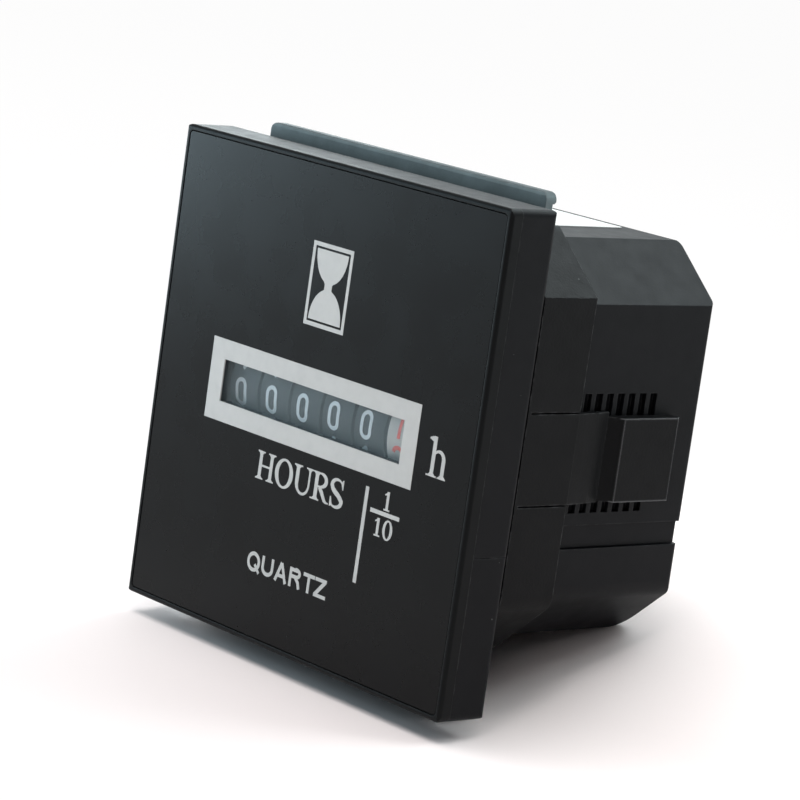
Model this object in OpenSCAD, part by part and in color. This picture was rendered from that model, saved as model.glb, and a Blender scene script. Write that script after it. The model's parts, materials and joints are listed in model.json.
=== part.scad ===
// Panel-mount quartz hour meter with drum counter, stepping motor and clamping collar.
// Frame: X to the right seen from the front, Y to the rear, Z up.
// Origin: centre of the seating face behind the bezel, which lies on the panel.

/* [Bezel] */
// Width and height of the square bezel
bezel_w = 48; // [46:0.5:54]
// Depth of the bezel in front of the panel
bezel_t = 5.8; // [5:0.1:8]
// Depth of the separate front ring
ring_t = 1.4; // [1.2:0.1:2]
// Width of the lip around the faceplate
lip_w = 0.55; // [0.4:0.05:1.2]
// Rounding of the bezel's four corners
bezel_corner_r = 0.7; // [0.3:0.1:2]

/* [Window] */
// Width of the window opening
window_w = 27.1; // [26:0.1:28]
// Height of the window opening
window_h = 4.2; // [3.4:0.1:5]
// Width of the white frame around the window
window_frame_w = 31.2; // [29:0.1:34]
// Height of the white frame around the window
window_frame_h = 8.1; // [6:0.1:10]

/* [Housing] */
// Width of the body behind the panel
body_w = 44.8; // [43:0.1:45]
// Height of the body's top above the bezel's centre
body_top = 20.4; // [18:0.1:21]
// Depth of the body's underside below the bezel's centre
body_bottom = 18.3; // [17.5:0.1:20]
// Depth of the body behind the panel
body_d = 24.1; // [23:0.1:30]
// Width of the chamfers along the body's edges
chamfer_w = 6; // [4:0.1:7]
// Height of the chamfers along the body's edges
chamfer_h = 5.3; // [4:0.1:6]
// Wall of the two shells
wall = 1.4; // [1.2:0.1:1.5]
// Height of the seam between the shells, below the bezel's centre
seam_z = 8.4; // [8:0.1:9]
// Number of slots in each side rack
rack_slots = 7; // [5:1:7]
// Spacing of the rack's slots
rack_pitch = 1.45; // [1.2:0.05:1.5]

/* [Collar] */
// Wall of the collar
collar_wall = 0.8; // [0.7:0.05:1.2]
// Clearance between the collar and the body
collar_gap = 0.3; // [0.2:0.05:0.4]
// Length of the collar along the body
collar_len = 6.7; // [5:0.1:7]
// Distance of the collar from the seating face in the stored position
collar_y = 0.3; // [0.3:0.1:4]
// Width of the two flanges
flange_w = 40.4; // [36:0.1:42]
// Distance of both flanges' edges from the bezel's centre
flange_reach = 25.1; // [24.2:0.1:26]
// Width of each spring tongue
tongue_w = 9; // [7:0.1:9]

/* [Counter] */
// Number of wheels
wheels = 6; // [6:1:6]
// Spacing of the number wheels
wheel_pitch = 4.76; // [4.75:0.01:4.8]
// Radius of the number wheels
wheel_r = 5.6; // [5.6:0.05:6]
// Width of each number wheel
wheel_w = 4.3; // [4.1:0.05:4.3]
// Radius of the wheels' shaft
shaft_r = 0.75; // [0.6:0.05:0.8]
// Teeth of each wheel's inner ring
ring_teeth = 20; // [20:10:20]
// Teeth of each carry pinion
carry_teeth = 6; // [6:1:6]
// Module of the carry gearing
carry_module = 0.46; // [0.44:0.01:0.46]

/* [Gear train] */
// Teeth of every train pinion
pinion_teeth = 8; // [8:1:8]
// Teeth of the gear on the tenths wheel
drive_teeth = 48; // [48:2:48]
// Module of the drive gear and its pinion
drive_module = 0.22; // [0.2:0.01:0.22]
// Teeth of the first reduction gear
first_teeth = 40; // [40:2:40]
// Teeth of the second reduction gear
second_teeth = 32; // [32:2:32]
// Module of the two reduction stages
train_module = 0.2; // [0.2:0.01:0.2]

/* [Terminals] */
// Width of each blade terminal
blade_w = 6.3; // [4.8:0.1:6.3]
// Thickness of each blade terminal
blade_t = 0.8; // [0.5:0.1:0.8]
// Length of each blade behind the housing
blade_out = 8; // [6:0.5:9]
// Distance between the blades' centre lines
blade_spacing = 15; // [14:0.5:20]

/* [Hidden] */
$fn = 48;

eps = 0.01;
big = 200;
half = bezel_w / 2;
front_y = -bezel_t;
ring_y = front_y + ring_t;
edge_r = 0.35;
seat_edge_r = 0.6;

plate_gap = 0.1;
plate_half = half - lip_w - plate_gap;
plate_y = front_y + 0.05;
plate_t = 1;
ledge_half = 21.7;
window_x = 0.14;
window_z = 0.17;
window_frame_t = 0.15;
window_frame_proud = 0.03;
lens_y = plate_y + 0.4;
lens_t = 0.5;

band_top = 6.1;
band_depth = 0.4;
rack_y = 8.4;
rack_slot = 0.9;
rack_depth = 0.5;
rack_top = 6.6;
rack_low = -4.9;
rear_r = 0.6;
low_rear_r = 1.6;
low_edge_r = 2.2;
label_t = 0.08;
label_w = 20.8;
label_y = 3;
label_len = 19.4;

collar_out = collar_gap + collar_wall;
collar_lift = 0.3;
tongue_z = 0.6;
slit = 0.15;
slit_y = collar_y + 0.4;
side_x = body_w / 2;
tongue_in = side_x + collar_gap;
strip_in = side_x + 0.1;
valley_x = side_x + 0.5;
pad_x = 23.9;
pad_foot = 11.4;
pad_y = 12.4;
pad_end = 20.2;
pad_w = 8.1;
pad_z = 0.45;
pawl_y = 9.25;
pawl_gap = 0.06;
flange_y = 1.8;
flange_t = 0.9;
bead = 0.4;
bead_h = 1.1;

drum_gap = 0.2;
axis_y = lens_y + lens_t + drum_gap + wheel_r;
axis_z = 0.2;
last_wheel_x = -11.3;
skin_t = 0.5;
web_t = 0.6;
hub_r = 1.3;
hub_w = wheel_w + 0.04;
bore_r = shaft_r + 0.04;
carry_offset = carry_module * (ring_teeth - carry_teeth) / 2;
ring_width = [0.55, 1.75];
carrier_t = 0.3;
carrier_half = 1.7;
carrier_tail = 0.5;
journal_r = 0.7;

first_y = axis_y + drive_module * (drive_teeth + pinion_teeth) / 2;
second_y = first_y + train_module * (first_teeth + pinion_teeth) / 2;
rotor_y = second_y + train_module * (second_teeth + pinion_teeth) / 2;
arbor_r = 0.5;
pivot_r = 0.3;
pivot_hole_r = 0.35;

frame_left = [last_wheel_x - wheel_w / 2 - 1.45, last_wheel_x - wheel_w / 2 - 0.35];
frame_right = [wheel_x(0) + wheel_w / 2 + 0.2, wheel_x(0) + wheel_w / 2 + 1];
frame_front = -1;
frame_top = axis_z + 6;
back_wall_y = [axis_y + wheel_r + 0.45, axis_y + wheel_r + 1.3];
shelf_z = [-seam_z, -7.2];
shelf_half = 20.9;
train_x = [18.9, 19.7];
train_y = [first_y - 1.2, rotor_y + 3.2];
train_z = [axis_z - 6.2, axis_z + 7.8];
arm_half = 2;
pillar_r = 1;
pillars = [[first_y - 0.2, axis_z + 6.8], [rotor_y + 2.2, axis_z + 6.6], [rotor_y + 2.2, axis_z - 5.2]];
bridge_x = [8.2, 9];
bridge_half = 2.5;
bridge_top = axis_z + 2.2;

drive_x = [frame_right[1] + 0.4, frame_right[1] + 1.2];
first_pinion_x = [drive_x[0] - 0.15, drive_x[1] + 0.15];
first_gear_x = [first_pinion_x[1] + 0.4, first_pinion_x[1] + 0.9];
second_pinion_x = [first_gear_x[0] - 0.2, first_gear_x[1] + 0.2];
second_gear_x = [drive_x[0] + 0.25, drive_x[0] + 0.65];
rotor_pinion_x = [second_gear_x[0] - 0.2, second_gear_x[1] + 0.2];
arbor_body = [frame_right[1] + 0.1, train_x[0] - 0.1];
arbor_ends = [frame_right[0] + 0.1, train_x[1] - 0.1];
rotor_body = [bridge_x[1] + 0.1, train_x[0] - 0.1];
rotor_ends = [bridge_x[0] + 0.1, train_x[1] - 0.1];

magnet_x = [10, 11.2];
magnet_r = 1.5;
stator_x = [10.2, 11];
stator_hole_r = 2;
stator_half = 2.6;
stator_notch_r = 0.3;
stator_z = [axis_z - 6.4, axis_z + 6.4];
leg_w = 1.8;
core_t = 0.8;
coil_x = stator_x[1] + core_t / 2;
coil_y = (back_wall_y[1] + rotor_y - stator_half) / 2;
coil_r = 2.4;
bobbin_r = 1.4;
bobbin_flange_t = 0.5;
bobbin_flange_front = 1.2;
coil_z = [stator_z[0] + leg_w + bobbin_flange_t, stator_z[1] - leg_w - bobbin_flange_t];
stator_post_z = 4.6;

board_z = [-10.6, -9.6];
board_half = 17;
board_y = [1.5, 21];
post_r = 1.3;
posts = [[-13, 4], [13, 4], [-13, 18], [13, 18]];
crystal_r = 1;
crystal_x = [-9, -3];
crystal_y = 5;
chip_at = [4.5, 8];
chip_size = [5, 4, 1.4];
chip_gap = 0.2;
lead_pitch = 1.27;
lead_w = 0.4;
lead_foot = 1;
lead_knee = 0.3;
capacitor_at = [-10, 9];
capacitor_h = 5;
capacitor_r = 2.2;
resistor_x = [9.5, 14];
resistor_y = 9;
resistor_r = 0.9;
blade_in = 7;
blade_tip = 1.2;
detent_back = 3.8;
detent_r = 0.8;

black = [0.09, 0.09, 0.1];
frame_grey = [0.75, 0.75, 0.72];
wheel_green = [0.3, 0.34, 0.35];
brass = [0.78, 0.62, 0.3];
steel = [0.7, 0.71, 0.73];

// Extrudes a profile drawn in X and Z along Y
module along_y(range) {
    rotate([90, 0, 0]) translate([0, 0, -range[1]]) linear_extrude(range[1] - range[0]) children();
}

// Extrudes a profile drawn in Y and Z along X
module along_x(range) {
    translate([range[0], 0, 0]) rotate([90, 0, 90]) linear_extrude(range[1] - range[0]) children();
}

// Extrudes a profile drawn in X and Y along Z
module along_z(range) {
    translate([0, 0, range[0]]) linear_extrude(range[1] - range[0]) children();
}

// Disc or rod along X about the axis at y, z
module rod_x(range, r, y, z = axis_z) {
    translate([range[0], y, z]) rotate([0, 90, 0]) cylinder(h = range[1] - range[0], r = r);
}

// What a fillet of radius r takes off a square corner at the origin
module corner_waste(r) {
    difference() {
        translate([-1, -1]) square(r + 1);
        translate([r, r]) circle(r);
    }
}

// Rectangle with fillets at its low and high ends, measured along the first axis
module ended_rect(a, b, r_low, r_high) {
    difference() {
        translate([a[0], b[0]]) square([a[1] - a[0], b[1] - b[0]]);
        if (r_low > 0) {
            translate([a[0], b[0]]) corner_waste(r_low);
            translate([a[0], b[1]]) mirror([0, 1]) corner_waste(r_low);
        }
        if (r_high > 0) {
            translate([a[1], b[0]]) mirror([1, 0]) corner_waste(r_high);
            translate([a[1], b[1]]) rotate(180) corner_waste(r_high);
        }
    }
}

module rounded_square(w, r) {
    ended_rect([-w / 2, w / 2], [-w / 2, w / 2], r, r);
}

module box_2d(x, z) {
    translate([x[0], z[0]]) square([x[1] - x[0], z[1] - z[0]]);
}

// Square block between two depths, with filleted front and rear edges
module square_block(y, r_front, r_rear) {
    intersection() {
        along_y(y) rounded_square(bezel_w, bezel_corner_r);
        along_x([-half, half]) ended_rect(y, [-half, half], r_front, r_rear);
        along_z([-half, half]) mirror([1, -1]) ended_rect(y, [-half, half], r_front, r_rear);
    }
}

// Body section moved inwards by d: eight corners, chamfered left and right. Lift moves the upper chamfers out
function body_section(d, lift = 0) =
    let (
        slope = sqrt(chamfer_w ^ 2 + chamfer_h ^ 2),
        flat_x = body_w / 2 - chamfer_w - d * (slope - chamfer_w) / chamfer_h,
        side = body_w / 2 - d,
        drop = chamfer_h + d * (slope - chamfer_h) / chamfer_w,
        top_x = flat_x + lift * chamfer_w / chamfer_h,
        top = body_top - drop + lift,
        low = -body_bottom + drop
    )
    [
        [top_x, body_top - d], [side, top], [side, low], [flat_x, -body_bottom + d],
        [-flat_x, -body_bottom + d], [-side, low], [-side, top], [-top_x, body_top - d]
    ];

// What rounding takes off the lower long edges of a section that stands d inside the body's
module low_edges_waste(d, r) {
    section = body_section(d);
    edge = section[2];
    reach = r * tan(atan2(chamfer_w, chamfer_h) / 2);
    run = (section[3] - edge) / norm(section[3] - edge);
    foot = edge + run * reach;
    for (side = [0, 1]) mirror([side, 0, 0]) difference() {
        polygon([edge + [0, reach], edge + [1, reach], edge + [1, -1], foot + [-run[1], run[0]], foot]);
        translate(edge + [-r, reach]) circle(r);
    }
}

// Trapezoid tooth ring: each tooth has its half angles at the root and the tip, and starts at phase
function tooth_ring(n, r_root, r_tip, half_root, half_tip, phase) = [
    for (i = [0 : n - 1], k = [0 : 3])
        let (
            a = phase + i * 360 / n + [-half_root, -half_tip, half_tip, half_root][k],
            r = k == 0 || k == 3 ? r_root : r_tip
        )
        r * [cos(a), sin(a)]
];

// Spur wheel with slim teeth, so that the mesh has clearance
module spur(n, m, phase, tooth = 0.46, add = 0.85) {
    pitch_angle = 360 / n;
    polygon(tooth_ring(n, n * m / 2 - 1.15 * m, n * m / 2 + add * m,
        pitch_angle * tooth * 0.68, pitch_angle * tooth * 0.27, phase));
}

module leaf_pinion(n, m, phase = 0) {
    spur(n, m, phase, tooth = 0.36, add = 0.75);
}

module bezel() {
    color(black)
    difference() {
        square_block([front_y, ring_y], edge_r, 0);
        along_y([front_y - 1, plate_y + plate_t]) rounded_square(2 * (half - lip_w), 0.5);
        along_y([front_y, ring_y + 1]) rounded_square(2 * ledge_half, 0.5);
    }
}

module window_rectangle(w, h) {
    translate([window_x, window_z]) square([w, h], center = true);
}

module window_opening() {
    window_rectangle(window_w, window_h);
}

module window_frame_outline() {
    window_rectangle(window_frame_w, window_frame_h);
}

module faceplate() {
    color([0.05, 0.05, 0.06])
    difference() {
        along_y([plate_y, plate_y + plate_t]) rounded_square(2 * plate_half, 0.4);
        along_y([plate_y - 1, plate_y + plate_t + 1]) window_opening();
        along_y([plate_y - 1, plate_y + window_frame_t - window_frame_proud]) window_frame_outline();
    }
}

module window_frame() {
    color([0.85, 0.85, 0.84])
    along_y([plate_y - window_frame_proud, plate_y + window_frame_t - window_frame_proud])
    difference() {
        window_frame_outline();
        window_opening();
    }
}

module window_lens() {
    color([0.85, 0.9, 0.92, 0.35])
    along_y([lens_y, lens_y + lens_t]) window_opening();
}

// Outer form of the body with filleted rear edges, from the seating face to the rear
module body_block() {
    intersection() {
        along_y([-eps, body_d]) difference() {
            polygon(body_section(0));
            low_edges_waste(0, low_edge_r);
        }
        along_z([-half, half]) mirror([1, -1]) ended_rect([-1, body_d], [-side_x, side_x], 0, rear_r);
        along_x([-half, half]) difference() {
            ended_rect([-1, body_d], [-body_bottom, body_top], 0, rear_r);
            translate([body_d, -body_bottom]) mirror([1, 0]) corner_waste(low_rear_r);
        }
    }
}

module body_hollow() {
    along_y([ring_y - 1, body_d - wall]) polygon(body_section(wall));
}

// Slots of the ratchet rack on one side, cut by the shell
module rack_slots_cut(side) {
    for (i = [0 : rack_slots - 1])
        translate([side * side_x, rack_y + rack_slot / 2 + i * rack_pitch, (rack_top + rack_low) / 2])
            cube([2 * rack_depth, rack_slot, rack_top - rack_low], center = true);
}

module shell(z) {
    intersection() {
        difference() {
            union() {
                square_block([ring_y, 0], 0, seat_edge_r);
                body_block();
            }
            body_hollow();
        }
        along_y([-big, big]) box_2d([-big, big], z);
    }
}

module housing_upper() {
    color(black)
    difference() {
        shell([-seam_z + 0.05, big]);
        difference() {
            along_y([0, body_d + 1]) box_2d([-half, half], [-seam_z, -band_top]);
            along_y([-1, body_d - band_depth])
                box_2d([-side_x + band_depth, side_x - band_depth], [-half, half]);
        }
        for (side = [-1, 1]) rack_slots_cut(side);
    }
}

module housing_lower() {
    color(black)
    union() {
        difference() {
            shell([-big, -seam_z]);
            for (side = [-1, 1]) blade_slot(side);
        }
        for (p = posts)
            translate([p[0], p[1], -body_bottom + wall - eps])
                cylinder(h = board_z[0] + body_bottom - wall + eps, r = post_r);
    }
}

module blade_slot(side) {
    translate([side * blade_spacing / 2, body_d - wall / 2, board_z[0] - blade_t / 2])
        cube([blade_w, 2 * wall, blade_t], center = true);
}

module top_label() {
    color([0.8, 0.8, 0.78])
    along_z([body_top, body_top + label_t])
        ended_rect([-label_w / 2, label_w / 2], [label_y, label_y + label_len], 0.6, 0.6);
}

// Spring tongue on the right: a strip that dips behind the collar and ends in a finger pad
module tongue() {
    z = [tongue_z - tongue_w / 2 + slit, tongue_z + tongue_w / 2 - slit];
    finger_z = [pad_z - pad_w / 2, pad_z + pad_w / 2];
    collar_end = collar_y + collar_len;
    intersection() {
        along_z([-half, half]) polygon([
            [tongue_in, collar_y], [side_x + collar_out, collar_y],
            [side_x + collar_out, collar_end - 0.2], [side_x + collar_out - 0.1, collar_end + 1.1],
            [valley_x + 0.34, pad_foot - 1.7], [valley_x, pad_foot - 0.3], [valley_x, pad_foot],
            [pad_x - 0.3, pad_y], [pad_x, pad_y + 0.3], [pad_x, pad_end - 0.3],
            [pad_x - 0.3, pad_end], [strip_in, pad_end], [strip_in, collar_end + 1.9],
            [tongue_in, collar_end + 1.5]
        ]);
        along_x([0, big]) union() {
            box_2d([collar_y, pad_foot], z);
            box_2d([pad_foot, pad_end], finger_z);
        }
    }
    pawl_in = side_x + pawl_gap;
    for (i = [0, 1])
        along_z([z[0] + 1, z[1] - 1]) polygon([
            [strip_in + eps, pawl_y + i * rack_pitch],
            [pawl_in, pawl_y + 0.5 + i * rack_pitch],
            [pawl_in, pawl_y + 0.75 + i * rack_pitch],
            [strip_in + eps, pawl_y + 0.75 + i * rack_pitch]
        ]);
}

// Flange profile in Y and Z, from the collar's wall to a beaded edge
module flange_profile(root, edge) {
    up = sign(edge);
    polygon([
        [flange_y, root], [flange_y, edge - up * 0.35], [flange_y + 0.1, edge - up * 0.1],
        [flange_y + 0.35, edge], [flange_y + flange_t + bead - 0.1, edge],
        [flange_y + flange_t + bead, edge - up * 0.15],
        [flange_y + flange_t + bead, edge - up * (bead_h - 0.2)],
        [flange_y + flange_t + bead - 0.2, edge - up * bead_h],
        [flange_y + flange_t, edge - up * bead_h], [flange_y + flange_t, root]
    ]);
}

module mounting_collar() {
    color([0.12, 0.12, 0.13])
    difference() {
        union() {
            difference() {
                along_y([collar_y, collar_y + collar_len]) difference() {
                    polygon(body_section(-collar_out, collar_lift));
                    low_edges_waste(-collar_out, low_edge_r);
                    polygon(body_section(-collar_gap));
                }
                for (side = [-1, 1], edge = [-1, 1])
                    translate([side * side_x, slit_y, tongue_z + edge * (tongue_w - slit) / 2])
                        translate([-3, 0, -slit / 2]) cube([6, collar_len, slit]);
            }
            for (side = [0, 1]) mirror([side, 0, 0]) tongue();
            intersection() {
                along_x([-flange_w / 2, flange_w / 2]) union() {
                    flange_profile(body_top + collar_gap, flange_reach);
                    flange_profile(-body_bottom - collar_gap, -flange_reach);
                }
                along_y([-1, 10]) ended_rect([-flange_w / 2, flange_w / 2],
                    [-flange_reach, flange_reach], 0.8, 0.8);
            }
        }
        along_y([0, 10]) polygon(body_section(-collar_gap));
    }
}

// Moulded frame: a shelf, two cheeks and a back wall around the wheels, and the right cheek
// carries the gear train, the stator's posts and the pillars of the train plate
module counter_frame() {
    color(frame_grey)
    difference() {
        union() {
            along_z(shelf_z) box_2d([-shelf_half, shelf_half], [0.5, body_d - wall - 0.1]);
            along_x(frame_left) box_2d([frame_front, back_wall_y[1]], [shelf_z[0], frame_top]);
            along_x(frame_right) box_2d(train_y, [shelf_z[0], train_z[1]]);
            along_y(back_wall_y) box_2d([frame_left[0], frame_right[1]], [shelf_z[0], frame_top]);
            along_x(bridge_x)
                box_2d([rotor_y - bridge_half, rotor_y + bridge_half], [shelf_z[0], bridge_top]);
            for (p = posts)
                translate([p[0], p[1], board_z[1]]) cylinder(h = shelf_z[1] - board_z[1], r = post_r);
            for (side = [-1, 1])
                rod_x([stator_x[1], frame_right[1]], pillar_r, rotor_y, axis_z + side * stator_post_z);
            for (p = pillars) rod_x([frame_right[0], train_x[0]], pillar_r, p[0], p[1]);
            for (p = pillars) rod_x([frame_right[0], train_x[1]], pillar_r / 2, p[0], p[1]);
        }
        rod_x([frame_left[0] - 1, frame_left[1] + 1], shaft_r, axis_y);
        for (y = [first_y, second_y]) rod_x([frame_right[0] - 1, frame_right[1] + 1], pivot_hole_r, y);
        rod_x([frame_right[0] - 1, frame_right[1] + 1], arbor_r + 0.2, rotor_y);
        rod_x([bridge_x[0] - 1, bridge_x[1] + 1], pivot_hole_r, rotor_y);
        for (i = [1 : wheels - 1]) carrier_pocket(i);
    }
}

// Pocket in the back wall that holds a carrier's tail
module carrier_pocket(i) {
    translate([gap_x(i) - carrier_t / 2, back_wall_y[0] - 1, axis_z - carrier_half])
        cube([carrier_t, 1 + carrier_tail, 2 * carrier_half]);
}

module train_plate() {
    color(frame_grey)
    difference() {
        along_x(train_x) union() {
            box_2d(train_y, train_z);
            box_2d([axis_y - arm_half, train_y[0] + 1], [axis_z - arm_half, axis_z + arm_half]);
        }
        rod_x([train_x[0] - 1, train_x[1] + 1], shaft_r, axis_y);
        for (y = [first_y, second_y, rotor_y])
            rod_x([train_x[0] - 1, train_x[1] + 1], pivot_hole_r, y);
        for (p = pillars) rod_x([train_x[0] - 1, train_x[1] + 1], pillar_r / 2, p[0], p[1]);
    }
}

module wheel_shaft() {
    color(steel)
    rod_x([frame_left[0], train_x[1]], shaft_r, axis_y);
}

// Places of the wheels and of the gaps between them, counted from the tenths wheel leftwards
function wheel_x(i) = last_wheel_x + (wheels - 1 - i) * wheel_pitch;
function gap_x(i) = wheel_x(i) + wheel_pitch / 2;

// One number wheel: skin, web and hub, with a toothed ring on its right and two carry teeth on its left
module number_wheel(i, ring, carry) {
    translate([wheel_x(i), axis_y, axis_z]) {
        rotate([0, 90, 0]) rotate_extrude() {
            box_2d([wheel_r - skin_t, wheel_r], [-wheel_w / 2, wheel_w / 2]);
            box_2d([bore_r, wheel_r - skin_t / 2], [-web_t / 2, web_t / 2]);
            box_2d([bore_r, hub_r], [-hub_w / 2, hub_w / 2]);
        }
        if (ring)
            along_x(ring_width) difference() {
                circle(wheel_r - skin_t / 2);
                inner_teeth();
            }
        if (carry)
            along_x([-1.25, -web_t / 2 + eps]) for (a = [9, 27]) rotate(a)
                polygon([
                    [4.3, -0.35], [4.3, 0.35],
                    [wheel_r - skin_t / 2, 0.5], [wheel_r - skin_t / 2, -0.5]
                ]);
    }
}

// Space inside a wheel's toothed ring
module inner_teeth() {
    r = ring_teeth * carry_module / 2;
    pitch_angle = 360 / ring_teeth;
    polygon(tooth_ring(ring_teeth, r - 0.75 * carry_module, r + 1.05 * carry_module,
        pitch_angle * 0.36, pitch_angle * 0.22, 0));
}

module wheel_tenths() {
    color([0.85, 0.85, 0.84]) number_wheel(0, false, true);
}

module wheel_n(i) {
    color(wheel_green) number_wheel(i, true, i < wheels - 1);
}

module carry_pinion(i) {
    y = axis_y + carry_offset;
    color(frame_grey)
    union() {
        along_x([gap_x(i) - 1.75, gap_x(i) - carrier_t / 2 - 0.1]) translate([y, axis_z])
            leaf_pinion(carry_teeth, carry_module);
        along_x([gap_x(i) + carrier_t / 2 + 0.1, gap_x(i) + 1.05]) translate([y, axis_z])
            leaf_pinion(carry_teeth, carry_module);
        rod_x([gap_x(i) - 1, gap_x(i) + 0.6], journal_r, y);
    }
}

// Fixed plate between two wheels that carries their pinion, with a slot that the pinion snaps through
module carrier(i) {
    color(frame_grey)
    along_x([gap_x(i) - carrier_t / 2, gap_x(i) + carrier_t / 2])
    difference() {
        translate([axis_y, axis_z]) union() {
            circle(carrier_half + 0.2);
            box_2d([0, back_wall_y[0] + carrier_tail - axis_y], [-carrier_half, carrier_half]);
        }
        translate([axis_y, axis_z]) circle(bore_r);
        translate([axis_y + carry_offset, axis_z]) circle(journal_r + 0.06);
        translate([axis_y + carry_offset - 0.6, axis_z]) square([1.2, 4]);
    }
}

module drive_gear() {
    color(frame_grey)
    difference() {
        union() {
            along_x(drive_x) translate([axis_y, axis_z])
                spur(drive_teeth, drive_module, 180 / drive_teeth);
            rod_x([wheel_x(0) + hub_w / 2, drive_x[0] + eps], hub_r, axis_y);
        }
        rod_x([wheel_x(0), drive_x[1] + 1], bore_r, axis_y);
    }
}

// Steel arbor with pivots at both ends and a leaf pinion cut on it
module arbor(y, body, ends, pinion, m) {
    rod_x(body, arbor_r, y);
    rod_x(ends, pivot_r, y);
    along_x(pinion) translate([y, axis_z]) leaf_pinion(pinion_teeth, m);
}

module reduction_gear(y, x, n) {
    difference() {
        along_x(x) translate([y, axis_z]) spur(n, train_module, 180 / n);
        rod_x([x[0] - 1, x[1] + 1], arbor_r, y);
        for (a = [45 : 90 : 315])
            translate([0, cos(a) * n * train_module / 3.6, sin(a) * n * train_module / 3.6])
                rod_x([x[0] - 1, x[1] + 1], n * train_module / 11, y);
    }
}

module first_arbor() {
    color(steel) arbor(first_y, arbor_body, arbor_ends, first_pinion_x, drive_module);
}

module first_gear() {
    color(brass) reduction_gear(first_y, first_gear_x, first_teeth);
}

module second_arbor() {
    color(steel) arbor(second_y, arbor_body, arbor_ends, second_pinion_x, train_module);
}

module second_gear() {
    color(brass) reduction_gear(second_y, second_gear_x, second_teeth);
}

module rotor_arbor() {
    color(steel) arbor(rotor_y, rotor_body, rotor_ends, rotor_pinion_x, train_module);
}

module rotor_magnet() {
    color([0.25, 0.25, 0.27])
    difference() {
        rod_x(magnet_x, magnet_r, rotor_y);
        rod_x([magnet_x[0] - 1, magnet_x[1] + 1], arbor_r, rotor_y);
    }
}

module stator() {
    color(steel)
    along_x(stator_x) difference() {
        union() {
            box_2d([rotor_y - stator_half, rotor_y + stator_half], stator_z);
            for (z = [stator_z[0], stator_z[1] - leg_w])
                box_2d([coil_y - leg_w / 2, rotor_y], [z, z + leg_w]);
        }
        translate([rotor_y, axis_z]) circle(stator_hole_r);
        for (side = [-1, 1])
            translate([rotor_y, axis_z + side * stator_hole_r]) circle(stator_notch_r);
    }
}

module coil_core() {
    color(steel)
    along_x([stator_x[1], stator_x[1] + core_t])
        box_2d([coil_y - leg_w / 2, coil_y + leg_w / 2], stator_z);
}

module coil_bobbin() {
    color([0.9, 0.88, 0.8])
    difference() {
        translate([coil_x, coil_y, 0]) {
            along_z(coil_z) circle(bobbin_r);
            for (z = [coil_z[0] - bobbin_flange_t, coil_z[1]])
                along_z([z, z + bobbin_flange_t])
                    ended_rect([-bobbin_flange_front, coil_r], [-coil_r, coil_r], 0, 1);
        }
        translate([coil_x, coil_y, 0]) cube([core_t, leg_w, body_w / 2], center = true);
    }
}

module coil_winding() {
    color([0.72, 0.36, 0.2])
    translate([coil_x, coil_y, 0])
    along_z(coil_z) difference() {
        circle(coil_r);
        circle(bobbin_r);
    }
}

module circuit_board() {
    color([0.1, 0.4, 0.22])
    along_z(board_z) box_2d([-board_half, board_half], board_y);
}

// Metal can of the crystal, lying under the board
module quartz_crystal() {
    color(steel) rod_x(crystal_x, crystal_r, crystal_y, board_z[0] - crystal_r);
}

// Chip under the board, with four bent leads along each long side
module driver_chip() {
    color([0.08, 0.08, 0.09])
    translate([chip_at[0], chip_at[1], board_z[0]]) {
        translate([-chip_size[0] / 2, -chip_size[1] / 2, -chip_gap - chip_size[2]]) cube(chip_size);
        for (i = [-1.5 : 1.5], side = [-1, 1]) translate([i * lead_pitch - lead_w / 2, 0, 0]) {
            translate([0, side * (chip_size[1] + lead_foot) / 2 - lead_foot / 2, -chip_gap])
                cube([lead_w, lead_foot, chip_gap]);
            translate([0, side * chip_size[1] / 2 - lead_knee / 2, -chip_gap - chip_size[2] / 2])
                cube([lead_w, lead_knee, chip_size[2] / 2 + chip_gap / 2]);
        }
    }
}

module capacitor() {
    color([0.15, 0.2, 0.4])
    translate([capacitor_at[0], capacitor_at[1], board_z[0] - capacitor_h])
        cylinder(h = capacitor_h, r = capacitor_r);
}

module resistor() {
    color([0.75, 0.66, 0.5]) rod_x(resistor_x, resistor_r, resistor_y, board_z[0] - resistor_r);
}

// Blade terminal, flat under the board and out through the rear wall, with a pointed tip
module blade(side) {
    reach = body_d + blade_out;
    w = blade_w / 2;
    color(brass)
    translate([side * blade_spacing / 2, 0, board_z[0] - blade_t])
    linear_extrude(blade_t) difference() {
        polygon([
            [-w, board_y[1] - blade_in], [w, board_y[1] - blade_in], [w, reach - blade_tip],
            [w - blade_tip, reach], [-w + blade_tip, reach], [-w, reach - blade_tip]
        ]);
        translate([0, reach - detent_back]) circle(detent_r);
    }
}

module terminal_left() { blade(-1); }
module terminal_right() { blade(1); }

bezel();
faceplate();
window_frame();
window_lens();
housing_upper();
housing_lower();
top_label();
mounting_collar();
counter_frame();
train_plate();
wheel_shaft();
wheel_tenths();
wheel_n(1);  // wheel_1
wheel_n(2);  // wheel_2
wheel_n(3);  // wheel_3
wheel_n(4);  // wheel_4
wheel_n(5);  // wheel_5
carry_pinion(1);  // carry_pinion_1
carry_pinion(2);  // carry_pinion_2
carry_pinion(3);  // carry_pinion_3
carry_pinion(4);  // carry_pinion_4
carry_pinion(5);  // carry_pinion_5
carrier(1);  // carrier_1
carrier(2);  // carrier_2
carrier(3);  // carrier_3
carrier(4);  // carrier_4
carrier(5);  // carrier_5
drive_gear();
first_arbor();
first_gear();
second_arbor();
second_gear();
rotor_arbor();
rotor_magnet();
stator();
coil_core();
coil_bobbin();
coil_winding();
circuit_board();
quartz_crystal();
driver_chip();
capacitor();
resistor();
terminal_left();
terminal_right();
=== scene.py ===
import json
import math
from collections import namedtuple
from functools import partial

import bpy
from mathutils import Matrix, Vector
from mathutils.geometry import delaunay_2d_cdt


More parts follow.
